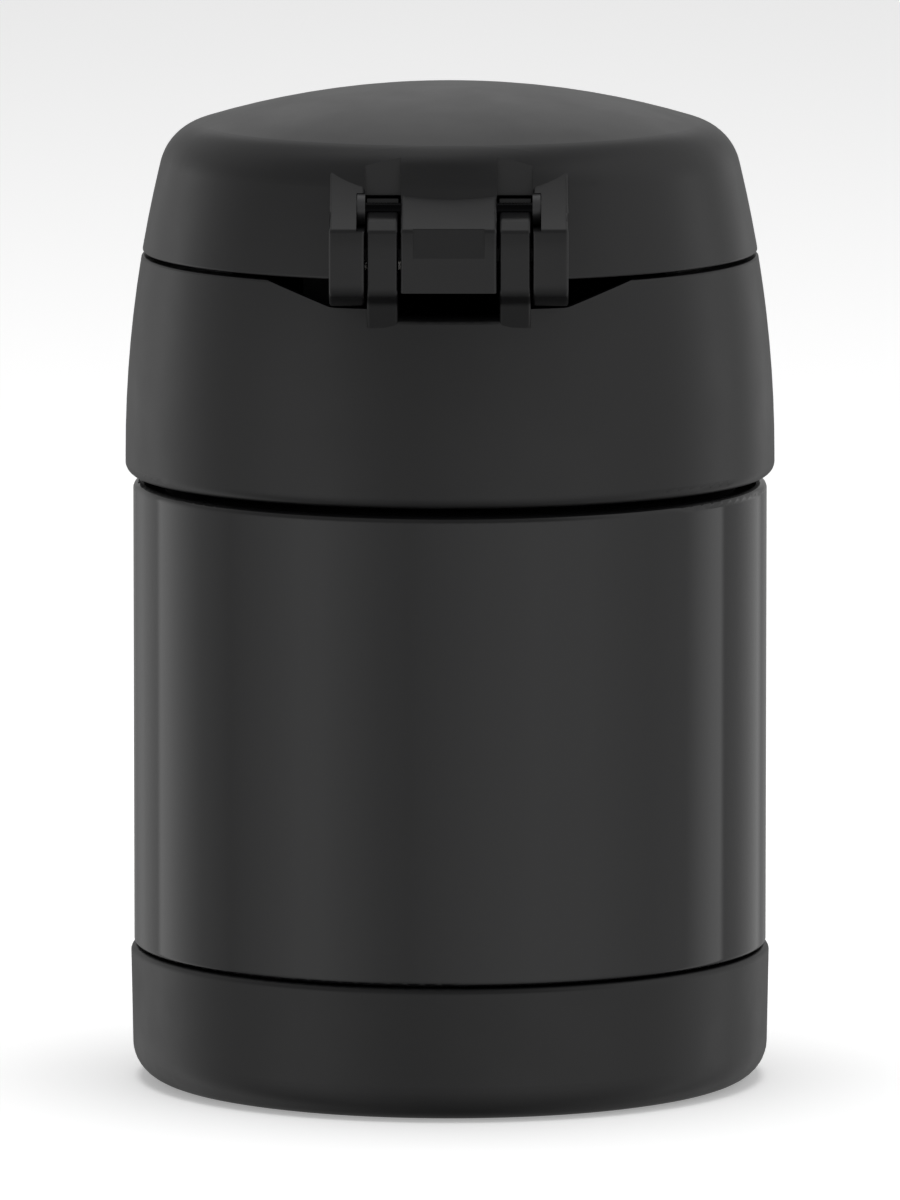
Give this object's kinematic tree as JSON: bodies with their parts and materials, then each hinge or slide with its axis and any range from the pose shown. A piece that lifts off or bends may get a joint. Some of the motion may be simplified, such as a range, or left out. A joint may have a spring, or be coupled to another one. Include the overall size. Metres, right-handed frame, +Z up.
{
  "type": "insulated food jar",
  "caption": "Wide-mouth vacuum food jar in dark steel with a moulded base, a screw-on insulated lid, and a hinged cover over a tray with a folding spoon.",
  "frame": {"origin": "middle of the base's underside, on the ground and on the jar's axis", "axes": "+Z up along the jar's axis, +Y towards the hinge at the back of the lid, -Y towards the thumb tab, +X to the right seen from the thumb tab"},
  "size_m": [0.089, 0.0932, 0.137],
  "materials": {
    "black_moulded_base": "matte",
    "dark_painted_steel": "gloss",
    "brushed_steel_bottom": "satin",
    "dull_solder": "matte",
    "dull_getter_steel": "satin",
    "grey_getter_powder": "matte",
    "polished_liner_steel": "polished",
    "bright_foil": "polished",
    "black_lid_plastic": "satin",
    "grey_silicone": "matte",
    "white_foam": "matte",
    "black_moulded_collar": "matte",
    "polished_spoon_steel": "polished",
    "black_handle_plastic": "satin",
    "black_moulded_cover": "matte",
    "blackened_pin_steel": "satin",
    "grey_bush_plastic": "satin"
  },
  "bodies": {
    "jar": {"base_cup": "black_moulded_base", "outer_shell": "dark_painted_steel", "shell_bottom": "brushed_steel_bottom", "sealing_bead": "dull_solder", "getter_dish": "dull_getter_steel", "getter_tablet": "grey_getter_powder", "inner_liner": "polished_liner_steel", "liner_bottom": "polished_liner_steel", "liner_foil": "bright_foil"},
    "seal": {"lid_gasket": "grey_silicone"},
    "lid": {"lid_stopper": "black_lid_plastic", "lid_foam": "white_foam", "lid_collar": "black_moulded_collar", "spoon_tray": "black_lid_plastic"},
    "cover": {"cover": "black_moulded_cover", "hinge_pin": "blackened_pin_steel", "hinge_bushes": "grey_bush_plastic"},
    "spoon": {"spoon_bowl": "polished_spoon_steel", "spoon_handle": "black_handle_plastic", "spoon_rivet": "polished_spoon_steel"}
  },
  "joints": [
    {"name": "lid_rise", "type": "slide", "parent": "jar", "child": "seal", "axis": [0, 0, 1], "range_m": [0, 0.0301]},
    {"name": "lid_turn", "type": "hinge", "parent": "seal", "child": "lid", "pos_m": [0, 0, 0.0904], "axis": [0, 0, 1], "range_deg": [0, 1080]},
    {"name": "cover_hinge", "type": "hinge", "parent": "lid", "child": "cover", "pos_m": [0, 0.0395, 0.1236], "axis": [-1, 0, 0], "range_deg": [0, 125]},
    {"name": "spoon_lift", "type": "slide", "parent": "lid", "child": "spoon", "axis": [0, 0, 1], "range_m": [0, 0.012]}
  ],
  "couplings": [
    {"joint": "lid_rise", "follows": "lid_turn", "m_per_rad": 0.0015915}
  ]
}
